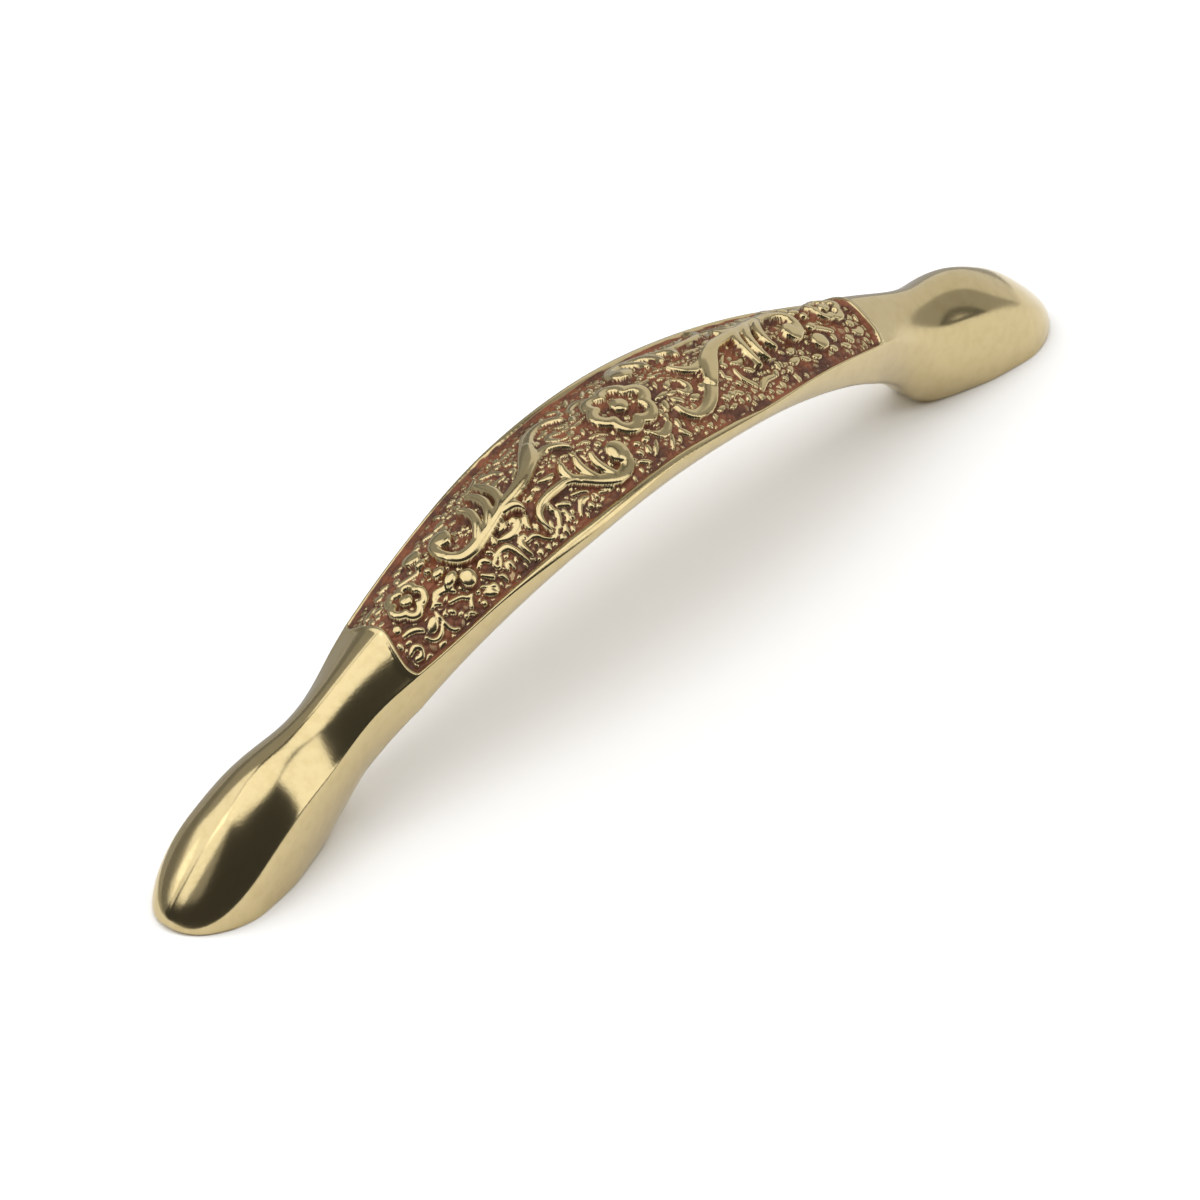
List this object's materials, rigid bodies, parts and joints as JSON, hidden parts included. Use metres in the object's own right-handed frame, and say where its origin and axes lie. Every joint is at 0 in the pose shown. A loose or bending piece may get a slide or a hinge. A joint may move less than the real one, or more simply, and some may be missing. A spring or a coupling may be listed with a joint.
{
  "type": "bridge pull",
  "caption": "Cast brass bridge pull with spoon-shaped feet, an arched bow and a carved panel of scrolls, flowers and pebbled ground; screwed from behind.",
  "frame": {"origin": "middle of the pull, on the plane of its two soles", "axes": "+X along the pull from foot to foot, +Z away from the drawer front, towards the hand"},
  "size_m": [0.12, 0.015, 0.0227],
  "materials": {
    "cast_brass": "aged cast brass, satin on the raised parts, with a brown-red patina in the carving's hollows"
  },
  "bodies": {
    "root": {"bridge_pull": "cast_brass"}
  },
  "joints": []
}
